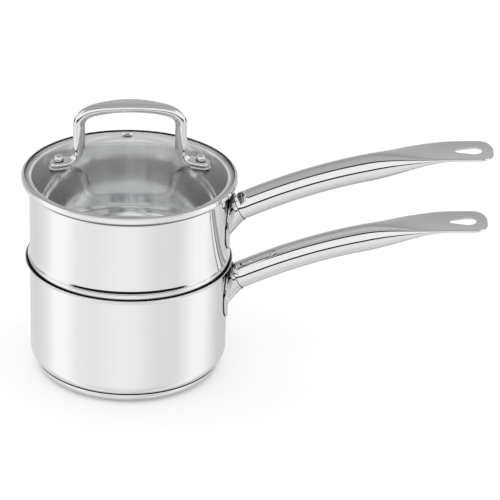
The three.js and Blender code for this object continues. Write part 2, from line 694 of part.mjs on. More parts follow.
// The five pieces that fasten one foot of the handle, set on the dome with their X axis outwards.
function lidFixing(name, side) {
  const gasket = washerRing(GASKET_DIAMETER, PAD_THICKNESS, gasketTop);
  const washer = washerRing(WASHER_DIAMETER, WASHER_THICKNESS, washerTop);
  const group = new THREE.Group();
  group.add(piece(`lid_foot_pad_${name}`, footPad(), 'silicone'));
  group.add(piece(`lid_cap_nut_${name}`, capNut(), 'polishedSteel'));
  group.add(piece(`lid_screw_${name}`, lidScrew(), 'satinSteel'));
  group.add(piece(`lid_gasket_${name}`, gasket, 'silicone'));
  group.add(piece(`lid_washer_${name}`, washer, 'satinSteel'));
  group.rotation.z = side < 0 ? Math.PI : 0;
  return placeOnDome(group, side * screwOffset, 0);
}

const doubleBoiler = new THREE.Group();

const saucepan = new THREE.Group();
saucepan.add(piece('saucepan_body', saucepanBody(), 'polishedSteel'));
saucepan.add(piece('saucepan_base_core', baseCore(), 'aluminium'));
saucepan.add(piece('saucepan_base_cap', baseCap(), 'polishedSteel'));
saucepan.add(handleWithBracket('saucepan', SAUCEPAN_HEIGHT - SAUCEPAN_HANDLE_DROP));
doubleBoiler.add(saucepan);

const insert = new THREE.Group();
insert.add(piece('insert_body', insertBody(), 'polishedSteel'));
insert.add(handleWithBracket('insert', insertRim - INSERT_HANDLE_DROP));
doubleBoiler.add(insert);

const lid = new THREE.Group();
lid.rotation.z = radians(LID_TURN);
lid.add(piece('lid_glass', lidGlass(), 'clearGlass'));
lid.add(piece('lid_rim_band', lidBand(), 'polishedSteel'));
lid.add(placeOnDome(piece('lid_vent_eyelet', ventEyelet(), 'polishedSteel'), 0, ventOffset));
lid.add(piece('lid_handle', lidHandle(), 'satinSteel'));
lid.add(lidFixing('left', -1));
lid.add(lidFixing('right', 1));
doubleBoiler.add(lid);

export default doubleBoiler;
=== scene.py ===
import math

import bmesh
import bpy
import numpy as np
from mathutils import Matrix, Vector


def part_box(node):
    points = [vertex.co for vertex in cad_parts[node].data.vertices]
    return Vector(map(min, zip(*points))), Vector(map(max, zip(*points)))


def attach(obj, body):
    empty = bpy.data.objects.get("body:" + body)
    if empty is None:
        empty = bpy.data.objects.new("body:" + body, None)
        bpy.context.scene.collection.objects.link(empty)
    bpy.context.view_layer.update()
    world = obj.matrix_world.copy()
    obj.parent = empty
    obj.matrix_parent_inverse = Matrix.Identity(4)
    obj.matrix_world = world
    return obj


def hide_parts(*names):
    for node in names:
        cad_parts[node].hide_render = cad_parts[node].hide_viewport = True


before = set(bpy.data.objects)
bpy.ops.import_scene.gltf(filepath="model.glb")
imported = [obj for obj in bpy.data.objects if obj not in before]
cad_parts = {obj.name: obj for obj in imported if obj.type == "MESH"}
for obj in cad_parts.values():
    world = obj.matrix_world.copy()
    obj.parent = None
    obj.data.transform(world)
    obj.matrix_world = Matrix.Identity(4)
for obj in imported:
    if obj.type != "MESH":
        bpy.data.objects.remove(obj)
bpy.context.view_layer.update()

# Studio: a pale seamless floor under an even white sky, so that every colour shows as it is written.
# Polished metal mirrors a set instead: a pale table with a dark gap past its edge, a white screen along the
# front with a dark line above it, white boxes at both sides and a grey ceiling. Glass shows panels overhead.
def add(tree, kind, inputs=(), **settings):
    """A shader node: settings are its properties, and each input is a value or the socket that feeds it."""
    made = tree.nodes.new("ShaderNode" + kind)
    for key, value in settings.items():
        setattr(made, key, value)
    for key, value in dict(inputs).items():
        if isinstance(value, bpy.types.NodeSocket):
            tree.links.new(value, made.inputs[key])
        else:
            made.inputs[key].default_value = value
    return made


white = (1.0, 1.0, 1.0, 1.0)
black = (0.0, 0.0, 0.0, 1.0)
world = bpy.data.worlds.new("studio")
bpy.context.scene.world = world
world.use_nodes = True
sky = world.node_tree
sky.nodes.clear()
direction = add(sky, "SeparateXYZ", {"Vector": add(sky, "TexCoord").outputs["Generated"]}).outputs
frontward = add(sky, "Math", {0: direction["Y"], 1: -1.0}, operation="MULTIPLY").outputs[0]
sweep = add(sky, "Math", {0: direction["Z"], 1: frontward}, operation="ARCTAN2").outputs[0]
half_turn = add(sky, "MapRange", {"Value": sweep, "From Max": math.pi}).outputs["Result"]
heading = add(sky, "Math", {0: direction["X"], 1: frontward}, operation="ARCTAN2").outputs[0]
full_turn = add(sky, "MapRange", {
    "Value": heading, "From Min": -math.pi, "From Max": math.pi,
}).outputs["Result"]
ray = add(sky, "LightPath").outputs


def graded(place, stops):
    """Greys along a value from 0 to 1, from stops that are a position and a grey level."""
    ramp = add(sky, "ValToRGB", {"Fac": place})
    elements = ramp.color_ramp.elements
    while len(elements) < len(stops):
        elements.new(1.0)
    for element, (position, grey) in zip(elements, stops):
        element.position = position
        element.color = (grey, grey, grey, 1.0)
    return ramp.outputs["Color"]


def over_the_top(tones):
    """Greys from the front horizon, 0 degrees, over the top to the rear horizon, 180 degrees."""
    return graded(half_turn, [(degrees / 180.0, grey) for degrees, grey in tones])


def round_the_horizon(tones):
    """Greys by bearing in degrees: 0 is the front, 90 the right and -90 the left."""
    return graded(full_turn, [((degrees + 180.0) / 360.0, grey) for degrees, grey in tones])


def by_height(heights, start=0.0, end=1.0):
    """A value that goes from start to end between two heights of the direction, which run from -1 to 1."""
    low, high = heights
    return add(sky, "MapRange", {
        "Value": direction["Z"], "From Min": low, "From Max": high, "To Min": start, "To Max": end,
    }).outputs["Result"]


def mixed(factor, first, second):
    """The first colour where the factor is 0, the second where it is 1, and between them in proportion."""
    return add(sky, "Mix", {"Factor": factor, "A": first, "B": second}, data_type="RGBA").outputs["Result"]


# Each tone is an angle in degrees and a grey level, or for the boxes the share of white.
screen_tones = [
    (0.0, 1.0), (48.0, 1.0), (49.5, 0.03), (60.0, 0.03), (61.5, 0.50), (108.0, 0.47), (124.0, 0.40),
    (135.0, 0.35), (146.0, 0.41), (157.0, 0.48), (167.5, 0.54), (169.0, 1.0),
]
box_tones = [
    (-112.0, 0.0), (-106.0, 1.0), (-68.0, 1.0), (-62.0, 0.0),
    (62.0, 0.0), (68.0, 1.0), (106.0, 1.0), (112.0, 0.0),
]
table_tones = [
    (-180.0, 0.74), (-130.0, 0.71), (-107.0, 0.82), (-92.0, 1.0), (-74.0, 1.0), (-58.0, 0.86),
    (-36.0, 0.83), (-5.0, 0.90), (15.0, 0.88), (40.0, 0.76), (62.0, 0.75), (88.0, 0.97),
    (105.0, 0.97), (135.0, 0.65), (180.0, 0.60),
]
gap_tones = [
    (-145.0, 1.0), (-135.0, 0.02), (-102.0, 0.02), (-96.0, 1.0), (-66.0, 1.0), (-57.0, 0.01),
    (67.0, 0.01), (76.0, 1.0), (106.0, 1.0), (112.0, 0.02), (145.0, 0.02), (155.0, 1.0),
]
panel_tones = [
    (-140.0, 0.8), (-82.0, 0.7), (-64.0, 0.15), (-52.0, 1.0), (-32.0, 1.0), (-20.0, 0.5), (-8.0, 1.0),
    (10.0, 1.0), (22.0, 0.4), (36.0, 0.1), (51.0, 0.5), (66.0, 0.15), (84.0, 0.8), (140.0, 0.8),
]
box_tops = (0.62, 0.74)
table_shade = (-0.9, -0.6)
table_shade_tone = 0.87
gap_foot = (-0.24, -0.22)
gap_top = (-0.04, -0.02)
panel_foot = (0.05, 0.2)
in_box = add(sky, "Math", {
    0: round_the_horizon(box_tones), 1: by_height(box_tops, 1.0, 0.0),
}, operation="MULTIPLY").outputs[0]
upper_set = mixed(in_box, over_the_top(screen_tones), white)
shaded_table = mixed(by_height(table_shade, table_shade_tone), black, round_the_horizon(table_tones))
edged_table = mixed(by_height(gap_foot), shaded_table, round_the_horizon(gap_tones))
mirrored_set = mixed(by_height(gap_top), edged_table, upper_set)
seen_through = mixed(by_height(panel_foot), white, round_the_horizon(panel_tones))
through_glass = mixed(ray["Is Transmission Ray"], mirrored_set, seen_through)
shiny_ray = add(sky, "Math", {
    0: ray["Is Glossy Ray"], 1: ray["Is Transmission Ray"],
}, operation="MAXIMUM").outputs[0]
studio = mixed(shiny_ray, white, through_glass)
background = add(sky, "Background", {"Color": studio, "Strength": 1.0})
add(sky, "OutputWorld", {"Surface": background.outputs["Background"]})


def blank_finish(name):
    """A new material, and its node tree with nothing in it."""
    finish = bpy.data.materials.new(name)
    finish.use_nodes = True
    finish.node_tree.nodes.clear()
    return finish, finish.node_tree


floor_reach = 30.0
floor_grey = (0.80, 0.80, 0.80, 1.0)
floor_lift = 0.30
floor_corners = floor_reach * np.array([(-1, -1, 0), (1, -1, 0), (1, 1, 0), (-1, 1, 0)], float)
floor_mesh = bpy.data.meshes.new("floor")
floor_mesh.from_pydata(floor_corners, [], [(0, 1, 2, 3)])
floor_paint, paint = blank_finish("floor_paint")
floor_ray = add(paint, "LightPath").outputs
seen_lift = add(paint, "Math", {0: floor_ray["Is Camera Ray"], 1: floor_lift}, operation="MULTIPLY")
matte = add(paint, "BsdfPrincipled", {
    "Base Color": floor_grey, "Roughness": 1.0, "Specular IOR Level": 0.0,
    "Emission Color": white, "Emission Strength": seen_lift.outputs[0],
})
passed = add(paint, "BsdfTransparent")
to_mirrors = add(paint, "MixShader", {
    0: floor_ray["Is Glossy Ray"], 1: matte.outputs[0], 2: passed.outputs[0],
})
add(paint, "OutputMaterial", {"Surface": to_mirrors.outputs["Shader"]})
floor_mesh.materials.append(floor_paint)
floor = bpy.data.objects.new("floor", floor_mesh)
bpy.context.collection.objects.link(floor)
bpy.context.scene.view_settings.view_transform = "Standard"

# Camera: a long lens from two metres off, a little to the right of square to the handles and looking
# down on the lid, tipped a touch so that the pan leans in the picture as it does in the photograph.
camera_distance = 2.0
camera_target_height = 0.09
camera_azimuth = math.radians(5.0)
camera_elevation = math.radians(26.638)
camera_heading = math.radians(1.848)
camera_pitch = math.radians(26.303)
camera_roll = math.radians(1.965)
lens = bpy.data.cameras.new("camera")
lens.sensor_width = 36.0
lens.lens = 176.44
camera = bpy.data.objects.new("camera", lens)
bpy.context.collection.objects.link(camera)
camera_ground = camera_distance * math.cos(camera_elevation)
camera.matrix_world = (
    Matrix.Translation((
        camera_ground * math.sin(camera_azimuth),
        -camera_ground * math.cos(camera_azimuth),
        camera_target_height + camera_distance * math.sin(camera_elevation),
    ))
    @ Matrix.Rotation(camera_heading, 4, "Z")
    @ Matrix.Rotation(math.pi / 2 - camera_pitch, 4, "X")
    @ Matrix.Rotation(camera_roll, 4, "Z")
)
bpy.context.scene.camera = camera

# Base cap: a thin stainless dish pressed over the heat-spreading disc and bonded under the saucepan.
# Its rounded side ends against the pan in a fine dark line, painted shade from the steel's darkening where
# surfaces stand close.
def arc(centre_r, centre_z, radius, start, end, steps=16):
    """Points (r, z) on a circle about a centre, from one angle to another in degrees."""
    angle = np.radians(np.linspace(start, end, steps + 1))
    return np.stack([centre_r + radius * np.cos(angle), centre_z + radius * np.sin(angle)], 1)


def join(*runs):
    """Runs of points one after another, each a list of points or one point."""
    return np.concatenate([np.atleast_2d(np.asarray(run, float)) for run in runs])


def turned(profile, columns=224):
    """A profile (r, z) swept round the Z axis: (r cos t, r sin t, z) for t over a full turn."""
    t = np.linspace(0.0, 2 * np.pi, columns, endpoint=False)
    r, z = profile[:, :1], profile[:, 1:]
    return np.stack([r * np.cos(t), r * np.sin(t), np.broadcast_to(z, (len(profile), columns))], -1)


def skin(name, grid, ring=False, row_finish=None):
    """A mesh over a grid (row, column, xyz) whose columns close on themselves, as its rows do for a ring.

    Coinciding points are merged, faces turned outwards and shading kept soft up to 40 degrees.
    row_finish gives the material index of each row of faces."""
    same_point = 1e-7
    soft_limit = math.radians(40.0)
    rows, columns = grid.shape[:2]
    here = np.arange(rows if ring else rows - 1)[:, None] * columns
    there = (here + columns) % (rows * columns)
    column = np.arange(columns)
    after = (column + 1) % columns
    quads = np.stack([here + column, here + after, there + after, there + column], -1).reshape(-1, 4)
    mesh = bpy.data.meshes.new(name)
    mesh.from_pydata(grid.reshape(-1, 3), [], quads)
    if row_finish is not None:
        mesh.polygons.foreach_set("material_index", np.repeat(np.asarray(row_finish, np.int32), columns))
    solid = bmesh.new()
    solid.from_mesh(mesh)
    bmesh.ops.remove_doubles(solid, verts=solid.verts, dist=same_point)
    bmesh.ops.recalc_face_normals(solid, faces=solid.faces)
    solid.to_mesh(mesh)
    solid.free()
    mesh.shade_smooth()
    mesh.set_sharp_from_angle(angle=soft_limit)
    made = bpy.data.objects.new(name, mesh)
    bpy.context.collection.objects.link(made)
    return made


def effect_group(name, taken, given):
    """A shader node group with named sockets, each a label and a kind, and its two ends' sockets."""
    group = bpy.data.node_groups.new(name, "ShaderNodeTree")
    for way, sockets in [("INPUT", taken), ("OUTPUT", given)]:
        for label, kind in sockets:
            group.interface.new_socket(label, in_out=way, socket_type="NodeSocket" + kind)
    return group, group.nodes.new("NodeGroupInput").outputs, group.nodes.new("NodeGroupOutput").inputs


def polishing_lines_group():
    """Marks of the polishing wheel: noise stretched along the wheel's path, and broad cloudy patches.

    Both are mixed to one mask, which shades between two colours, two roughnesses and a height."""
    cloud_scale = 22.0
    cloud_share = 0.4
    mask_low = 0.32
    mask_high = 0.68
    group, taken, given = effect_group(
        "polishing_lines",
        [("Vector", "Vector"), ("Light", "Color"), ("Dark", "Color"),
         ("Fine", "Float"), ("Coarse", "Float")],
        [("Colour", "Color"), ("Roughness", "Float"), ("Height", "Float")],
    )
    lines = add(group, "TexNoise", {
        "Vector": taken["Vector"], "Scale": 1.0, "Detail": 4.0, "Roughness": 0.6,
    }).outputs["Fac"]
    place = add(group, "TexCoord").outputs["Object"]
    clouds = add(group, "TexNoise", {"Vector": place, "Scale": cloud_scale, "Detail": 2.0}).outputs["Fac"]
    mask = add(group, "Mix", {"Factor": cloud_share, "A": lines, "B": clouds}, data_type="FLOAT")
    clear = add(group, "MapRange", {
        "Value": mask.outputs["Result"], "From Min": mask_low, "From Max": mask_high,
    }).outputs["Result"]
    colour = add(group, "Mix", {"Factor": clear, "A": taken["Light"], "B": taken["Dark"]}, data_type="RGBA")
    rough = add(group, "Mix", {"Factor": clear, "A": taken["Fine"], "B": taken["Coarse"]}, data_type="FLOAT")
    group.links.new(colour.outputs["Result"], given["Colour"])
    group.links.new(rough.outputs["Result"], given["Roughness"])
    group.links.new(lines, given["Height"])
    return group


def crevice_shade_group():
    """Painted shade in corners: the colour darkens to a shade colour where other surfaces stand close."""
    closed_in = 0.38
    well_open = 0.82
    group, taken, given = effect_group(
        "crevice_shade",
        [("Colour", "Color"), ("Shade Colour", "Color"), ("Reach", "Float")],
        [("Colour", "Color")],
    )
    openness = add(group, "AmbientOcclusion", {"Distance": taken["Reach"]}, samples=8).outputs["AO"]
    unshaded = add(group, "MapRange", {"Value": openness, "From Min": closed_in, "From Max": well_open})
    colour = add(group, "Mix", {
        "Factor": unshaded.outputs["Result"], "A": taken["Shade Colour"], "B": taken["Colour"],
    }, data_type="RGBA")
    group.links.new(colour.outputs["Result"], given["Colour"])
    return group


polishing_lines = polishing_lines_group()
crevice_shade = crevice_shade_group()
round_the_axis = (9.0, 9.0, 2600.0)
# Near black colour of the painted shade that darkens metal where other surfaces stand close.
crevice_shade_colour = (0.02, 0.02, 0.022, 1.0)


def steel(name, light, dark, fine, coarse, path=round_the_axis, depth=4e-7, stretch=0.0, reach=0.004):
    """A polished metal: two tones and two roughnesses between its lines, and painted shade in its corners.

    The lines run along the path's small scales. stretch draws reflections out across lines that run round
    the axis, and reach is how near other surfaces have to stand for the colour to darken to painted shade."""
    bump_strength = 0.4
    across_the_lines = 0.25
    finish, tree = blank_finish(name)
    along = add(tree, "Mapping", {"Vector": add(tree, "TexCoord").outputs["Object"], "Scale": path})
    lines = add(tree, "Group", {
        "Vector": along.outputs["Vector"], "Light": (*light, 1.0), "Dark": (*dark, 1.0),
        "Fine": fine, "Coarse": coarse,
    }, node_tree=polishing_lines).outputs
    shade = add(tree, "Group", {
        "Colour": lines["Colour"], "Shade Colour": crevice_shade_colour, "Reach": reach,
    }, node_tree=crevice_shade)
    bump = add(tree, "Bump", {"Strength": bump_strength, "Distance": depth, "Height": lines["Height"]})
    round_z = add(tree, "Tangent", direction_type="RADIAL", axis="Z")
    metal = add(tree, "BsdfPrincipled", {
        "Base Color": shade.outputs["Colour"], "Roughness": lines["Roughness"], "Metallic": 1.0,
        "Anisotropic": stretch, "Anisotropic Rotation": across_the_lines,
        "Normal": bump.outputs["Normal"], "Tangent": round_z.outputs["Tangent"],
    })
    add(tree, "OutputMaterial", {"Surface": metal.outputs["BSDF"]})
    return finish


cap_sheet = 0.0006
base_corner_run = 0.0099
base_edge_radius, _, base_edge_height = map(float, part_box("saucepan_base_cap")[1])
base_flat_radius = base_edge_radius - base_corner_run
base_corner_radius = (base_corner_run ** 2 + base_edge_height ** 2) / (2 * base_edge_height)


def base_side(depth, top):
    """Underside and side of the base a set depth inside the cap: flat, then one arc up to a height."""
    radius = base_corner_radius - depth
    top_angle = math.degrees(math.asin((top - base_corner_radius) / radius))
    return join((0.0, depth), arc(base_flat_radius, base_corner_radius, radius, -90.0, top_angle))


polished_outside = steel(
    "polished_outside", light=(0.94, 0.94, 0.945), dark=(0.91, 0.91, 0.918), fine=0.02, coarse=0.05,
)
cap_profile = join(base_side(0.0, base_edge_height), base_side(cap_sheet, base_edge_height)[::-1])
base_cap = skin("base_cap", turned(cap_profile))
base_cap.data.materials.append(polished_outside)
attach(base_cap, "saucepan")
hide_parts("saucepan_base_cap")

# Base core: a flat disc of aluminium that spreads the heat, pressed between the cap and the pan's floor.
# Only its edge could ever be glimpsed, through the fine joint above the cap.
seat_gap = 0.0003
core_thickness = 0.005
core_bottom = cap_sheet + seat_gap
core_top = core_bottom + core_thickness
pressed_aluminium = steel(
    "pressed_aluminium", light=(0.80, 0.80, 0.81), dark=(0.66, 0.67, 0.68), fine=0.35, coarse=0.5,
)
base_core = skin("base_core", turned(join(base_side(core_bottom, core_top), (0.0, core_top))))
base_core.data.materials.append(pressed_aluminium)
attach(base_core, "saucepan")
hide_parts("saucepan_base_core")

# Saucepan: one deep-drawn stainless pan with a rounded corner and a short flared pouring lip.
# Mirror polished outside and brushed in circles inside.
wall_radius = 0.0804
pan_sheet = 0.0008
pan_corner = 0.012
lip_radius = 0.0054
lip_sweep = 71.0
lip_full_sweep = 75.0
flare_rows = 12
saucepan_height = 0.097
floor_height = core_top + seat_gap
lip_rise = (lip_radius + pan_sheet) * math.sin(math.radians(lip_full_sweep))
lip_centre = wall_radius + lip_radius


def beside(line, distance):
    """The line a fixed distance to the left of another, moved along the bisector at each point."""
    step = np.diff(line, axis=0)
    left = np.stack([-step[:, 1], step[:, 0]], 1) / np.linalg.norm(step, axis=1, keepdims=True)
    before, after = np.vstack([left[:1], left]), np.vstack([left, left[-1:]])
    bisector = before + after
    bisector /= np.linalg.norm(bisector, axis=1, keepdims=True)
    return line + bisector * (distance / np.sum(bisector * before, axis=1, keepdims=True))


def drawn_pan(outer_face):
    """Profile of a pan of even sheet: its outer face, a rounded rim, and the inner face back to the axis.

    Also the material index of each row of faces: 0 outside and on the rim, 1 inside, 2 under the flare."""
    inner_face = beside(outer_face, pan_sheet)
    middle = (outer_face[-1] + inner_face[-1]) / 2
    across = (outer_face[-1] - inner_face[-1]) / 2
    ahead = np.array([-across[1], across[0]])
    turn = np.linspace(0.0, np.pi, 9)[1:-1, None]
    rim = middle + across * np.cos(turn) + ahead * np.sin(turn)
    profile = join(outer_face, rim, inner_face[::-1])
    row = np.arange(len(profile) - 1)
    finish = np.where(row >= len(outer_face) + len(rim), 1, 0)
    finish[len(outer_face) - flare_rows:len(outer_face) - 1] = 2
    return profile, finish


def lip_arc(rim):
    """Outer face of a flared lip, from the wall up to the rim."""
    return arc(lip_centre, rim - lip_rise, lip_radius, 180.0, 180.0 - lip_sweep)


def floor_and_corner(height, radius):
    """Outer face of a pan's floor and rounded corner, up to its wall."""
    return join((0.0, height), arc(radius - pan_corner, height + pan_corner, pan_corner, -90.0, 0.0))


brushed_inside = steel(
    "brushed_inside", light=(0.95, 0.95, 0.955), dark=(0.89, 0.89, 0.90), fine=0.04, coarse=0.13,
    stretch=0.8, depth=1e-6,
)
saucepan_face = join(floor_and_corner(floor_height, wall_radius), lip_arc(saucepan_height))
saucepan_profile, saucepan_rows = drawn_pan(saucepan_face)
saucepan_pan = skin("saucepan_pan", turned(saucepan_profile), row_finish=saucepan_rows)
saucepan_pan.data.materials.append(polished_outside)
saucepan_pan.data.materials.append(brushed_inside)
saucepan_pan.data.materials.append(polished_outside)
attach(saucepan_pan, "saucepan")
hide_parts("saucepan_body")

# Handle brackets: a pressed stainless cup that takes the end of the tube, drawn out of a leaf-shaped flange
# that is bent to the wall and spot-welded to it. Both pans carry the same bracket.
bracket_sheet = 0.001
bracket_reach = 0.0082
socket_depth = 0.002
socket_half_width = 0.010
socket_top = 0.005
socket_bottom = 0.027
socket_squareness = 3.4
flange_width = 0.033
flange_top = 0.0065
flange_bottom = 0.0368
flange_fillet = 0.0022
tube_root_radius = 0.0108
root_slope = math.radians(27.5)
saucepan_mouth_drop = 0.0144
saucepan_mouth = saucepan_height - saucepan_mouth_drop
along_root = np.array([math.cos(root_slope), 0.0, math.sin(root_slope)])
above_root = np.array([-math.sin(root_slope), 0.0, math.cos(root_slope)])
sideways = np.array([0.0, 1.0, 0.0])


def bulge(value, power):
    """Part of a superellipse: the sign of the value times its size to the power two over n."""
    return np.sign(value) * np.abs(value) ** (2.0 / power)


def bezier(points, t):
    """Cubic curve through its first and last of four points, pulled towards the two between."""
    t = np.asarray(t)[:, None]
    a, b, c, d = np.asarray(points, float)
    return (1 - t) ** 3 * a + 3 * (1 - t) ** 2 * t * b + 3 * (1 - t) * t ** 2 * c + t ** 3 * d


def leaf_reach(bearing, middle):
    """How far the leaf's edge, two half ellipses, lies from (0, middle) at each bearing on the wall."""
    belly = -flange_bottom / 2
    t = np.linspace(-np.pi / 2, np.pi / 2, 120)
    half_height = np.where(t > 0.0, flange_top - belly, belly + flange_bottom)
    edge = np.stack([flange_width / 2 * np.cos(t), belly + half_height * np.sin(t) - middle], 1)
    mirrored = np.arctan2(np.sin(bearing), np.abs(np.cos(bearing)))
    return np.interp(mirrored, np.arctan2(edge[:, 1], edge[:, 0]), np.linalg.norm(edge, axis=1))


def cup_wall(angle, wall, depth_start, t):
    """Points of the cup at parameters t: 0 upright slot at the wall, 1 round seat of the tube, 2 mouth."""
    middle = (socket_top - socket_bottom) / 2
    half_width = socket_half_width - bracket_sheet + wall
    half_height = (socket_top + socket_bottom) / 2 - bracket_sheet + wall
    slot_y = half_width * bulge(np.cos(angle), socket_squareness)
    slot_z = middle + half_height * bulge(np.sin(angle), socket_squareness)
    slot = np.stack([np.full_like(angle, depth_start), slot_y, slot_z], -1)
    radius = tube_root_radius + seat_gap + wall
    mouth = np.array([wall_radius + bracket_reach, 0.0, 0.0])
    rim = mouth + radius * (np.cos(angle)[:, None] * sideways + np.sin(angle)[:, None] * above_root)
    seat = rim - (socket_depth + seat_gap) * along_root
    t = t[..., None]
    return np.where(t < 1.0, slot + (seat - slot) * t, seat + (rim - seat) * (t - 1.0))


def crossing(angle, wall, depth_start, radius):
    """Parameter at which each line of the cup comes out of a cylinder of that radius round the axis."""
    t = np.linspace(0.0, 2.0, 401)
    points = cup_wall(np.broadcast_to(angle, (len(t), len(angle))).ravel(), wall, depth_start,
                      np.repeat(t, len(angle))).reshape(len(t), len(angle), 3)
    outside = np.hypot(points[..., 0], points[..., 1]) >= radius
    return t[np.argmax(outside, axis=0)]


def on_wall(y, z, radius):
    """Points at (y, z) laid on a cylinder of that radius about the pans' axis."""
    return np.stack([np.sqrt(radius ** 2 - y ** 2), y, z], -1)


def bracket_grid(mouth_height):
    """Rows round the cup: flange from its edge inwards, fillet, cup wall, rim, and back down inside."""
    angle = np.linspace(0.0, 2 * np.pi, 112, endpoint=False)
    back, face = wall_radius + seat_gap, wall_radius + seat_gap + bracket_sheet
    inner_wall = wall_radius - pan_sheet
    middle = (socket_top - socket_bottom) / 2
    start = crossing(angle, bracket_sheet, inner_wall, face)
    foot = cup_wall(angle, bracket_sheet, inner_wall, start)
    bearing = np.arctan2(foot[:, 2] - middle, foot[:, 1])
    foot_reach = np.hypot(foot[:, 1], foot[:, 2] - middle)
    leaf = leaf_reach(bearing, middle)
    edge_reach = np.maximum(leaf, foot_reach + seat_gap)
    back_radius = np.where(leaf > foot_reach, back, face - seat_gap)
    fillet_reach = np.minimum(foot_reach + flange_fillet, (edge_reach + foot_reach) / 2)

    def flange(reach, radius):
        """Points so far from the cup's middle along each bearing, on a cylinder of that radius."""
        return on_wall(reach * np.cos(bearing), middle + reach * np.sin(bearing), radius)

    soften = bracket_sheet / 3
    spread = np.linspace(0.0, 1.0, 5)[:, None]
    flat_rows = flange(edge_reach - soften + (fillet_reach - edge_reach + soften) * spread, face)
    mouth = cup_wall(angle, bracket_sheet, inner_wall, np.full_like(angle, 2.0))
    length = np.linalg.norm(mouth - foot, axis=1)
    lifted = start + (2.0 - start) * np.minimum(flange_fillet / length, 0.5)
    rise = cup_wall(angle, bracket_sheet, inner_wall, lifted)
    s = np.linspace(0.0, 1.0, 7)[1:, None, None]
    fillet_rows = (1 - s) ** 2 * flat_rows[-1] + 2 * s * (1 - s) * foot + s ** 2 * rise
    climb = np.linspace(0.0, 1.0, 9)[1:, None]
    shape = (len(climb), len(angle))
    many = np.broadcast_to(angle, shape).ravel()
    up = (lifted + (2.0 - lifted) * climb).ravel()
    outside_rows = cup_wall(many, bracket_sheet, inner_wall, up).reshape(*shape, 3)
    start_inside = crossing(angle, 0.0, inner_wall - bracket_sheet, back)
    down = (2.0 + (start_inside - 2.0) * np.linspace(0.0, 1.0, 8)[:, None]).ravel()
    inside_rows = cup_wall(many, 0.0, inner_wall - bracket_sheet, down).reshape(*shape, 3)
    rim_row = (outside_rows[-1] + inside_rows[0]) / 2 + along_root * bracket_sheet / 3
    edge_rows = np.stack([
        flange(edge_reach - soften / 2, back_radius),
        flange(edge_reach, (back_radius + face) / 2),
    ])
    grid = np.concatenate([edge_rows, flat_rows, fillet_rows, outside_rows, rim_row[None], inside_rows])
    return grid + np.array([0.0, 0.0, mouth_height])


# Its painted corner shade reaches far, and darkens the cup between the wall and the tube.
pressed_steel = steel(
    "pressed_steel", light=(0.84, 0.84, 0.845), dark=(0.76, 0.76, 0.77), fine=0.03, coarse=0.06,
    path=(180.0, 180.0, 180.0), reach=0.012,
)
saucepan_bracket = skin("saucepan_handle_bracket", bracket_grid(saucepan_mouth), ring=True)
saucepan_bracket.data.materials.append(pressed_steel)
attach(saucepan_bracket, "saucepan")
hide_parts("saucepan_bracket")

# Long handles: a round stainless tube, open at the pan's end, bent in a slow curve and pressed flat towards
# its upper side into a blade, through which a teardrop hanging hole is punched and its edges broken.
tube_radius = 0.0112
tube_wall = 0.001
handle_length = 0.2002
handle_rise = 0.0526
tip_slope = math.radians(0.6)
handle_bow = 0.37
blade_width = 0.0378
blade_thickness = 0.0022
blade_lift = 0.0061
blade_crown = 0.0009
blade_length = 0.033
flatten_length = 0.067
blade_end_round = 0.012
hole_length = 0.0213
hole_width = 0.0135
hole_point = 0.0036
hole_setback = 0.0095
hole_edge_break = 0.0004
tube_inside_depth = 0.03


def eased(value, low, high):
    """Smooth step from 0 to 1: 3 t squared less 2 t cubed, with t the share of the way from low to high."""
    t = np.clip((value - low) / (high - low), 0.0, 1.0)
    return t * t * (3.0 - 2.0 * t)


def spaced(points, distance):
    """Points and unit tangents at distances along a fine polyline."""
    steps = np.linalg.norm(np.diff(points, axis=0), axis=1)
    run = np.concatenate([[0.0], np.cumsum(steps)])
    tangents = np.gradient(points, run, axis=0)
    tangents /= np.linalg.norm(tangents, axis=1, keepdims=True)
    place = np.stack([np.interp(distance, run, points[:, k]) for k in range(3)], -1)
    heading = np.stack([np.interp(distance, run, tangents[:, k]) for k in range(3)], -1)
    return place, heading


def sections(place, heading, wide, high):
    """Sections along a line in the XZ plane: points lie along -Y, and square to both -Y and the line."""
    upward = np.cross(heading, -sideways)
    return place[:, None] - wide[..., None] * sideways + high[..., None] * upward[:, None]


def pressed(half_width, half_height, columns=72):
    """Outlines of a pressed tube: half circles at both edges, joined by straight faces above and below."""
    angle = np.linspace(0.0, 2 * np.pi, columns, endpoint=False)
    straight = np.clip(np.cos(angle) / math.sin(math.pi / 8), -1.0, 1.0)
    wide = half_height[:, None] * np.cos(angle) + (half_width - half_height)[:, None] * straight
    return wide, half_height[:, None] * np.sin(angle)


handle_mouth = np.array([wall_radius + bracket_reach, 0.0, 0.0])
handle_tip = handle_mouth + (handle_length, 0.0, handle_rise)
along_tip = np.array([math.cos(tip_slope), 0.0, math.sin(tip_slope)])
handle_root = handle_mouth - socket_depth * along_root
bow = handle_length * handle_bow
tube_line = bezier([handle_root, handle_root + bow * along_root, handle_tip - bow * along_tip, handle_tip],
                   np.linspace(0.0, 1.0, 1200))
tube_length = np.sum(np.linalg.norm(np.diff(tube_line, axis=0), axis=1))


def crowned(wide):
    """How far the blade stands up at a distance from its middle line: a parabola, 0 at the edges."""
    return blade_crown * (1.0 - (wide / (blade_width / 2)) ** 2)


def flattened(from_tip):
    """How far the tube is pressed flat at a distance from its tip: 1 on the blade, 0 where it is round."""
    return 1.0 - eased(from_tip, blade_length, blade_length + flatten_length)


def rounded_off(from_tip, run):
    """Share of the full size near a rounded end: a quarter circle that is full a run away from the tip."""
    left = np.clip(1.0 - from_tip / run, 0.0, 1.0)
    return np.sqrt(1.0 - left ** 2)


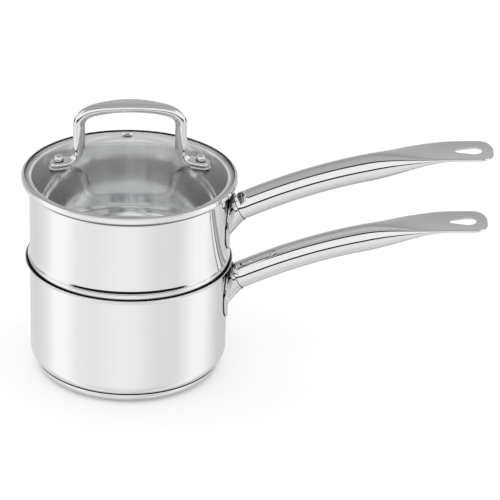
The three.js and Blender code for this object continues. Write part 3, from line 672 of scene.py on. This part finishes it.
def handle_sections(from_tip, inset):
    """Sections of the handle at distances from its tip, drawn in by inset all round."""
    flat = flattened(from_tip)
    neck = eased(from_tip, tube_length - 3 * socket_depth, tube_length - socket_depth)
    tube = tube_radius + (tube_root_radius - tube_radius) * neck
    end_width = rounded_off(from_tip, blade_end_round)
    end_height = rounded_off(from_tip, blade_thickness / 2)
    half_width = (tube + (blade_width / 2 - tube) * flat) * end_width - inset
    half_height = (tube + (blade_thickness / 2 - tube) * flat) * end_height - inset
    place, heading = spaced(tube_line, tube_length - from_tip)
    place[:, 2] += blade_lift * flat
    wide, high = pressed(half_width, half_height)
    return sections(place, heading, wide, high + flat[:, None] * crowned(wide))


def capped(rows):
    """Rows with both ends closed, each by one more row that lies at the middle of the end row."""
    ends = np.broadcast_to(rows[[0, -1]].mean(axis=1, keepdims=True), (2, *rows.shape[1:]))
    return np.concatenate([ends[:1], rows, ends[1:]])


def teardrop(grow):
    """Outline (x, y) of the hanging hole grown by a margin: a wide and a narrow arc with straight sides."""
    wide_x = handle_tip[0] - hole_setback - hole_width / 2
    point_x = handle_tip[0] - hole_setback - hole_length + hole_point
    spread = math.degrees(math.acos((hole_width / 2 - hole_point) / (wide_x - point_x)))
    wide_arc = arc(wide_x, 0.0, hole_width / 2 + grow, -180.0 + spread, 180.0 - spread, 40)
    return join(wide_arc, arc(point_x, 0.0, hole_point + grow, 180.0 - spread, 180.0 + spread, 14))


def drilled(piece, cutter):
    """The piece with the cutter's volume taken out. The cutter is thrown away."""
    crisp_edge = math.radians(30.0)
    drill = piece.modifiers.new("drill", "BOOLEAN")
    drill.object = cutter
    drill.operation = "DIFFERENCE"
    drill.solver = "EXACT"
    bpy.context.view_layer.update()
    cut = bpy.data.meshes.new_from_object(piece.evaluated_get(bpy.context.evaluated_depsgraph_get()))
    cut.set_sharp_from_angle(angle=crisp_edge)
    piece.modifiers.clear()
    piece.data = cut
    bpy.data.objects.remove(cutter)
    return piece


def hole_cutter():
    """Rows of a plug in the teardrop's outline along the blade, wider at its faces to break the edges."""
    half = blade_thickness / 2
    levels = [
        (-3 * half, 2 * half), (-half, hole_edge_break),
        (-half + hole_edge_break / 2, hole_edge_break / 4), (-half + hole_edge_break, 0.0),
    ]
    levels += [(-level, grow) for level, grow in reversed(levels)]
    line_z = tube_line[:, 2] + blade_lift * flattened(handle_tip[0] - tube_line[:, 0])
    rows = []
    for level, grow in levels:
        outline = teardrop(grow)
        height = np.interp(outline[:, 0], tube_line[:, 0], line_z) + crowned(outline[:, 1]) + level
        rows.append(np.column_stack([outline, height]))
    return capped(np.stack(rows))


def long_handle(name, mouth_height):
    """Tube from inside its open end, over the edge and along to the tip, with the hole cut in its blade."""
    raised = np.array([0.0, 0.0, mouth_height])
    flat_start = blade_length + flatten_length
    inside = tube_length - np.linspace(tube_inside_depth, 0.0, 6)
    tube_run = np.linspace(tube_length, flat_start, 60)
    blade_run = np.linspace(flat_start, blade_end_round, 70)[1:]
    end_run = blade_end_round * (1.0 - np.sin(np.linspace(0.0, np.pi / 2, 28)))[1:]
    rows = np.concatenate([
        handle_sections(inside, tube_wall),
        handle_sections(np.concatenate([tube_run, blade_run, end_run]), 0.0),
    ])
    handle = skin(name, capped(rows) + raised)
    return drilled(handle, skin(name + "_cutter", hole_cutter() + raised))


polished_tube = steel(
    "polished_tube", light=(0.88, 0.88, 0.885), dark=(0.82, 0.82, 0.83), fine=0.02, coarse=0.045,
    path=(14.0, 900.0, 900.0),
)
saucepan_handle = long_handle("saucepan_long_handle", saucepan_mouth)
saucepan_handle.data.materials.clear()
saucepan_handle.data.materials.append(polished_tube)
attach(saucepan_handle, "saucepan")
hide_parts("saucepan_handle")

# Insert pan: drawn from the same sheet to the same wall and stepped in below a ridge. Its shoulder rests in
# the saucepan's flared lip and its lower half hangs over the water. Polished outside and brushed inside;
# under the flare of its own lip the steel is painted dark, a painted shade for the gap below the lid band.
insert_rise = 0.0677
nest_depth = 0.045
nest_clearance = 0.0031
shoulder_sweep = 52.0
ridge_proud = 0.0016
ridge_height = 0.0054
ridge_round = 0.0015
ridge_sweep = 60.0
ridge_root = 0.0005
run_out = 0.027
run_out_sweep = 12.0
insert_rim = saucepan_height + insert_rise
nest_floor = saucepan_height - nest_depth
nest_radius = wall_radius - pan_sheet - nest_clearance
shoulder_radius = lip_radius + pan_sheet + seat_gap
shoulder = arc(lip_centre, saucepan_height - lip_rise, shoulder_radius, 180.0, 180.0 - shoulder_sweep)
neck_drop = shoulder[0, 0] - nest_radius
ridge_top = shoulder[-1, 1] + ridge_height
crest_r = wall_radius + ridge_proud - ridge_round
ridge_crest = arc(crest_r, ridge_top - ridge_round, ridge_round, 0.0, ridge_sweep, 8)
run_out_angle = math.radians(run_out_sweep)
root_r = wall_radius + run_out - (run_out - ridge_root) * math.cos(run_out_angle)
root_z = ridge_crest[-1, 1] + ridge_root * math.sin(math.radians(ridge_sweep))
ridge_fillet = arc(root_r, root_z, ridge_root, 180.0 + ridge_sweep, 180.0 + run_out_sweep, 8)
run_out_z = root_z + (run_out - ridge_root) * math.sin(run_out_angle)
ridge_run_out = arc(wall_radius + run_out, run_out_z, run_out, 180.0 + run_out_sweep, 180.0, 10)
# Dark steel under the lip's flare: painted shade for the gap below the lid band.
painted_shade_flare = steel(
    "painted_shade_flare", light=(0.22, 0.22, 0.225), dark=(0.14, 0.14, 0.145), fine=0.25, coarse=0.4,
)
insert_profile, insert_rows = drawn_pan(join(
    floor_and_corner(nest_floor, nest_radius), (nest_radius, shoulder[0, 1] - neck_drop),
    shoulder, ridge_crest, ridge_fillet, ridge_run_out[1:], lip_arc(insert_rim),
))
insert_pan = skin("insert_pan", turned(insert_profile), row_finish=insert_rows)
insert_pan.data.materials.append(polished_outside)
insert_pan.data.materials.append(brushed_inside)
insert_pan.data.materials.append(painted_shade_flare)
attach(insert_pan, "insert")
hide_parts("insert_body")

# Insert bracket and handle: the saucepan's pressed cup and bent tube over again, of the same stainless
# steel, welded a little lower under the insert's rim.
insert_mouth_drop = 0.0201
insert_mouth = insert_rim - insert_mouth_drop
insert_bracket = skin("insert_handle_bracket", bracket_grid(insert_mouth), ring=True)
insert_bracket.data.materials.append(pressed_steel)
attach(insert_bracket, "insert")
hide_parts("insert_bracket")
insert_handle = long_handle("insert_long_handle", insert_mouth)
insert_handle.data.materials.clear()
insert_handle.data.materials.append(polished_tube)
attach(insert_handle, "insert")
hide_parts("insert_handle")

# Lid band: a strip of thin stainless rolled round the edge of the glass, with a flange that rests on the
# insert's rim and a skirt that drops inside it to keep the lid centred.
band_sheet = 0.0006
band_overhang = 0.0024
band_lip_width = 0.0024
skirt_clearance = 0.0008
skirt_depth = 0.0046
glass_thickness = 0.0032
glass_rise = 0.0108
lid_turn = math.radians(7.0)
band_radius = lip_centre - lip_radius * math.cos(math.radians(lip_full_sweep)) + band_overhang
band_bottom = insert_rim + seat_gap
glass_radius = band_radius - band_sheet - seat_gap
glass_edge = band_bottom + band_sheet + seat_gap + glass_thickness
dome_radius = (glass_radius ** 2 + glass_rise ** 2) / (2 * glass_rise)


def dome_height(r):
    """Height of the glass dome's outer face: a ball's cap that meets the band at the glass's edge."""
    return glass_edge + glass_rise - dome_radius + np.sqrt(dome_radius ** 2 - np.square(r))


skirt = wall_radius - pan_sheet - skirt_clearance
band_channel = band_radius - band_sheet
band_lip = band_radius - band_lip_width
band_floor = band_bottom + band_sheet
channel_top = glass_edge + seat_gap
lip_under = float(dome_height(band_lip)) + seat_gap
bend = 0.0012
lip_tilt = math.degrees(math.asin(band_lip / dome_radius))
band_profile = join(
    (skirt, band_bottom - skirt_depth),
    arc(skirt + band_sheet, band_bottom - band_sheet, band_sheet, 180.0, 90.0, 6),
    arc(band_radius - bend, band_bottom + bend, bend, -90.0, 0.0, 10),
    arc(band_radius - bend, channel_top + band_sheet - bend, bend, 0.0, 90.0 - lip_tilt, 10),
    arc(band_lip + band_sheet / 2, lip_under + band_sheet / 2, band_sheet / 2, 90.0, 270.0, 8),
    (band_channel, channel_top),
    (band_channel, band_floor),
    (skirt - band_sheet, band_floor),
    (skirt - band_sheet, band_bottom - skirt_depth),
)
lid_band = skin("lid_band", turned(band_profile), ring=True)
# A short reach of painted corner shade: a dark line where the band's lip meets the glass.
rolled_band = steel(
    "rolled_band", light=(0.94, 0.94, 0.945), dark=(0.91, 0.91, 0.918), fine=0.02, coarse=0.05,
    reach=0.002,
)
lid_band.data.materials.append(rolled_band)
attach(lid_band, "lid")
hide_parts("lid_rim_band")

# Lid glass: a shallow dome of clear tempered glass, ground round at its edge and drilled for the two
# handle screws and for the steam vent.
screw_inset = 0.0302
vent_inset = 0.0199
screw_offset = glass_radius - screw_inset
vent_offset = glass_radius - vent_inset
screw_diameter = 0.004
vent_bore = 0.0044
eyelet_sheet = 0.0007


def on_dome(points, offset, bearing):
    """Points of a fitting's own frame, X outwards and Z square to the glass, set on the dome."""
    outward = np.array([math.cos(bearing), math.sin(bearing), 0.0])
    tilt = math.asin(offset / dome_radius)
    upright = np.array([0.0, 0.0, 1.0])
    axes = np.stack([
        outward * math.cos(tilt) - upright * math.sin(tilt),
        np.cross(upright, outward),
        outward * math.sin(tilt) + upright * math.cos(tilt),
    ])
    return points @ axes + outward * offset + upright * float(dome_height(offset))


def drill_bit(radius, bottom, top, offset, bearing):
    """A round cutter that stands on the dome, from one height to another in the fitting's frame."""
    rod = join((0.0, bottom), (radius, bottom), (radius, top), (0.0, top))
    return skin("drill_bit", on_dome(turned(rod, 48), offset, bearing))


def clear_material(name, tint, cloudy, roughness, variation, refraction, clarity):
    """A see-through material whose tint and roughness vary a little with cloudy patches."""
    patch_scale = 40.0
    finish, tree = blank_finish(name)
    place = add(tree, "TexCoord").outputs["Object"]
    patches = add(tree, "TexNoise", {"Vector": place, "Scale": patch_scale, "Detail": 2.0}).outputs["Fac"]
    colour = add(tree, "Mix", {"Factor": patches, "A": (*tint, 1.0), "B": (*cloudy, 1.0)}, data_type="RGBA")
    rough = add(tree, "MapRange", {"Value": patches, "To Min": roughness, "To Max": roughness + variation})
    clear = add(tree, "BsdfPrincipled", {
        "Base Color": colour.outputs["Result"], "Roughness": rough.outputs["Result"],
        "IOR": refraction, "Transmission Weight": clarity,
    })
    add(tree, "OutputMaterial", {"Surface": clear.outputs["BSDF"]})
    return finish


ground_edge = 0.0008
dome_r = np.linspace(0.0, glass_radius - ground_edge, 48)
outer_dome = np.stack([dome_r, dome_height(dome_r)], 1)
glass_profile = join(
    outer_dome - (0.0, glass_thickness),
    (glass_radius, dome_height(glass_radius) - glass_thickness + ground_edge),
    (glass_radius, dome_height(glass_radius) - ground_edge),
    outer_dome[::-1],
)
lid_glass = skin("lid_glass_dome", turned(glass_profile))
screw_clearance = screw_diameter / 2 + 2 * seat_gap
vent_clearance = vent_bore / 2 + eyelet_sheet + seat_gap
right_bearing, left_bearing = lid_turn, lid_turn + math.pi
vent_bearing = lid_turn + math.pi / 2
for hole, offset, bearing in [
    (screw_clearance, screw_offset, right_bearing),
    (screw_clearance, screw_offset, left_bearing),
    (vent_clearance, vent_offset, vent_bearing),
]:
    drilled(lid_glass, drill_bit(hole, -2 * glass_thickness, glass_thickness, offset, bearing))
clear_glass = clear_material(
    "clear_glass", tint=(0.985, 0.995, 0.99), cloudy=(0.975, 0.99, 0.985),
    roughness=0.0, variation=0.01, refraction=1.8, clarity=1.0,
)
lid_glass.data.materials.clear()
lid_glass.data.materials.append(clear_glass)
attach(lid_glass, "lid")
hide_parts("lid_glass")

# Vent eyelet: a short stainless tube through the glass at the back of the lid, which lets the steam out.
# It is rolled over on both faces of the glass and so holds itself.
vent_flange = 0.0088
eyelet_under = -glass_thickness - seat_gap
eyelet_bore, eyelet_tube = vent_bore / 2, vent_bore / 2 + eyelet_sheet
roll = eyelet_sheet / 2
eyelet_profile = join(
    arc(eyelet_bore + eyelet_sheet, eyelet_under, eyelet_sheet, 180.0, 270.0, 6),
    arc(vent_flange / 2 - eyelet_sheet, eyelet_under - roll, roll, -90.0, 90.0, 8),
    (eyelet_tube, eyelet_under),
    (eyelet_tube, seat_gap),
    arc(vent_flange / 2 - roll, seat_gap + roll, roll, -90.0, 90.0, 8),
    arc(eyelet_bore + eyelet_sheet, seat_gap, eyelet_sheet, 90.0, 180.0, 6),
)
vent_eyelet = skin("vent_eyelet", on_dome(turned(eyelet_profile, 64), vent_offset, vent_bearing), ring=True)
vent_eyelet.data.materials.append(pressed_steel)
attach(vent_eyelet, "lid")
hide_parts("lid_vent_eyelet")

# Lid handle: a stainless bar bent to a staple and pressed flat in the grip and in both feet, which are
# drilled for the screws and lie along the slope of the dome.
grip_height = 0.0492
grip_width = 0.0178
grip_thickness = 0.0066
grip_crown = 0.0036
shoulder_run = 0.012
shoulder_drop = 0.013
bar_diameter = 0.0096
leg_inset = 0.0152
leg_offset = screw_offset - leg_inset
foot_width = 0.014
foot_thickness = 0.0032
foot_overhang = 0.0078
foot_bend = 0.009
pad_thickness = 0.0012
foot_bottom = 2 * seat_gap + pad_thickness
foot_top = foot_bottom + foot_thickness


def pulled(a, b, c, steps=60):
    """Quadratic curve from a to c, pulled towards b."""
    t = np.linspace(0.0, 1.0, steps)[:, None]
    return (1 - t) ** 2 * np.asarray(a) + 2 * t * (1 - t) * np.asarray(b) + t ** 2 * np.asarray(c)


screw_tilt = math.asin(screw_offset / dome_radius)
foot_lift = foot_bottom + foot_thickness / 2
foot_middle = np.array([
    screw_offset + foot_lift * math.sin(screw_tilt),
    float(dome_height(screw_offset)) + foot_lift * math.cos(screw_tilt),
])
down_slope = np.array([math.cos(screw_tilt), -math.sin(screw_tilt)])
knee_run = (leg_offset - foot_middle[0]) / down_slope[0]
knee = foot_middle + knee_run * down_slope
crown = foot_middle[1] + grip_height
grip_end = np.array([leg_offset - shoulder_run, crown - grip_crown])
leg_top = np.array([leg_offset, crown - grip_crown - shoulder_drop])
leg_foot = np.array([leg_offset, knee[1] + foot_bend])
foot_start = foot_middle + (knee_run + foot_bend) * down_slope
foot_end = foot_middle + foot_overhang * down_slope
runs = [
    pulled((0.0, crown), (grip_end[0] / 2, crown), grip_end),
    pulled(grip_end, (leg_offset, grip_end[1] - grip_crown), leg_top),
    np.linspace(leg_top, leg_foot, 30),
    pulled(leg_foot, knee, foot_start),
    np.linspace(foot_start, foot_end, 30),
]
run_ends = np.cumsum([np.sum(np.linalg.norm(np.diff(run, axis=0), axis=1)) for run in runs])
half_line = np.concatenate([runs[0]] + [run[1:] for run in runs[1:]])
half_line = np.column_stack([half_line[:, 0], np.zeros(len(half_line)), half_line[:, 1]])


def half_bar(side):
    """Sections of half the bar, from the middle of the grip to the rounded end of a foot."""
    total = run_ends[-1]
    rounding = foot_width / 2
    distance = np.concatenate([
        np.linspace(0.0, total - rounding, 110),
        total - rounding * (1.0 - np.sin(np.linspace(0.0, np.pi / 2, 20)))[1:],
    ])
    grip = 1.0 - eased(distance, 0.0, run_ends[1])
    foot = eased(distance, run_ends[2] - foot_bend / 2, run_ends[3])
    spread = eased(distance, run_ends[3] - foot_bend / 2, run_ends[3] + foot_bend / 3)
    bar = bar_diameter / 2
    tip = rounded_off(total - distance, rounding)
    half_width = (bar + grip * (grip_width / 2 - bar) + spread * (foot_width / 2 - bar)) * tip
    half_height = bar + grip * (grip_thickness / 2 - bar) + foot * (foot_thickness / 2 - bar)
    place, heading = spaced(half_line * (side, 1.0, 1.0), distance)
    return sections(place, heading * side, *pressed(half_width, np.minimum(half_height, half_width)))


bar_rows = np.concatenate([half_bar(-1.0)[::-1], half_bar(1.0)[1:]])
lid_cos = math.cos(lid_turn)
lid_sin = math.sin(lid_turn)
as_the_lid = np.array([[lid_cos, lid_sin, 0.0], [-lid_sin, lid_cos, 0.0], [0.0, 0.0, 1.0]])
lid_bar = skin("lid_bar_handle", capped(bar_rows) @ as_the_lid)
shank_hole = screw_diameter / 2 + seat_gap
for bearing in (right_bearing, left_bearing):
    drilled(lid_bar, drill_bit(shank_hole, 0.0, 2 * foot_top, screw_offset, bearing))
# Its painted corner shade reaches only 2.5 mm, near the feet, the nuts and the glass.
polished_bar = steel(
    "polished_bar", light=(0.88, 0.88, 0.885), dark=(0.80, 0.80, 0.81), fine=0.02, coarse=0.045,
    path=(40.0, 700.0, 40.0), reach=0.0025,
)
lid_bar.data.materials.clear()
lid_bar.data.materials.append(polished_bar)
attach(lid_bar, "lid")
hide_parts("lid_handle")

# Lid fixings, the same on both sides: a domed steel cap nut above the foot, a clear soft pad between foot
# and glass, and under the glass a soft gasket, a washer and the screw that comes up into the nut.
pad_margin = 0.001
cap_nut_radius = 0.0036
cap_nut_height = 0.0052
gasket_radius = 0.0065
washer_radius = 0.005
washer_thickness = 0.0008
screw_head_radius = 0.004
screw_head_height = 0.0022
nut_bottom = foot_top + seat_gap
gasket_top = -glass_thickness - seat_gap
washer_top = gasket_top - pad_thickness - seat_gap
head_top = washer_top - washer_thickness - seat_gap
soft_silicone = clear_material(
    "soft_silicone", tint=(0.93, 0.94, 0.93), cloudy=(0.86, 0.87, 0.86),
    roughness=0.25, variation=0.2, refraction=1.41, clarity=0.35,
)
nut_steel = steel(
    "turned_nut_steel", light=(0.88, 0.88, 0.885), dark=(0.82, 0.82, 0.83), fine=0.06, coarse=0.10,
    path=(120.0, 120.0, 1800.0),
)
screw_steel = steel(
    "screw_steel", light=(0.74, 0.74, 0.75), dark=(0.64, 0.64, 0.65), fine=0.18, coarse=0.28,
    path=(400.0, 400.0, 900.0),
)


def flat_ring(radius, bottom, top):
    """Section of a flat ring round the screw, its outer edges rounded."""
    soft = (top - bottom) / 3
    return join(
        (shank_hole, bottom), arc(radius - soft, bottom + soft, soft, -90.0, 0.0, 5),
        arc(radius - soft, top - soft, soft, 0.0, 90.0, 5), (shank_hole, top),
    )


def pad_grid():
    """Pad as rings of one outline: round beyond the screw, square towards the leg, with softened edges."""
    half = foot_width / 2 + pad_margin
    end = foot_overhang - foot_width / 2
    bearing = np.linspace(0.0, 2 * np.pi, 96, endpoint=False)
    outer_arc = end * np.cos(bearing) + np.sqrt(half ** 2 - (end * np.sin(bearing)) ** 2)
    square = half / np.maximum(np.abs(np.cos(bearing)), np.abs(np.sin(bearing)))
    outline = np.where(np.cos(bearing) * outer_arc > end, outer_arc, square)
    hole = np.full_like(bearing, shank_hole)
    soft = pad_thickness / 4
    rings = [
        (outline - soft, 0.0), (outline, soft),
        (outline, pad_thickness - soft), (outline - soft, pad_thickness),
        (hole, pad_thickness), (hole, 0.0),
    ]
    return np.stack([
        np.column_stack([
            reach * np.cos(bearing), reach * np.sin(bearing), np.full_like(bearing, seat_gap + level),
        ])
        for reach, level in rings
    ])


nut_bore = nut_bottom + cap_nut_height - cap_nut_radius
nut_profile = join(
    (0.0, nut_bore), (shank_hole, nut_bore), (shank_hole, nut_bottom),
    arc(cap_nut_radius - seat_gap, nut_bottom + seat_gap, seat_gap, -90.0, 0.0, 4),
    arc(0.0, nut_bore, cap_nut_radius, 0.0, 90.0, 14),
)
screw_profile = join(
    (0.0, head_top - screw_head_height),
    arc(screw_head_radius - screw_head_height, head_top, screw_head_height, -90.0, 0.0, 10),
    (screw_diameter / 2, head_top), (screw_diameter / 2, nut_bore - seat_gap), (0.0, nut_bore - seat_gap),
)
gasket_profile = flat_ring(gasket_radius, gasket_top - pad_thickness, gasket_top)
washer_profile = flat_ring(washer_radius, washer_top - washer_thickness, washer_top)
fixings = [
    ("lid_foot_pad_", pad_grid(), True, soft_silicone, "silicone"),
    ("lid_cap_nut_", turned(nut_profile, 64), False, nut_steel, "polished_steel"),
    ("lid_screw_", turned(screw_profile, 48), False, screw_steel, "satin_steel"),
    ("lid_gasket_", turned(gasket_profile, 64), True, soft_silicone, "silicone"),
    ("lid_washer_", turned(washer_profile, 64), True, screw_steel, "satin_steel"),
]
for side, bearing in [("left", left_bearing), ("right", right_bearing)]:
    for node, grid, ring, finish, slot in fixings:
        fixing = skin("made_" + node + side, on_dome(grid, screw_offset, bearing), ring=ring)
        fixing.data.materials.append(finish)
        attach(fixing, "lid")
        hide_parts(node + side)
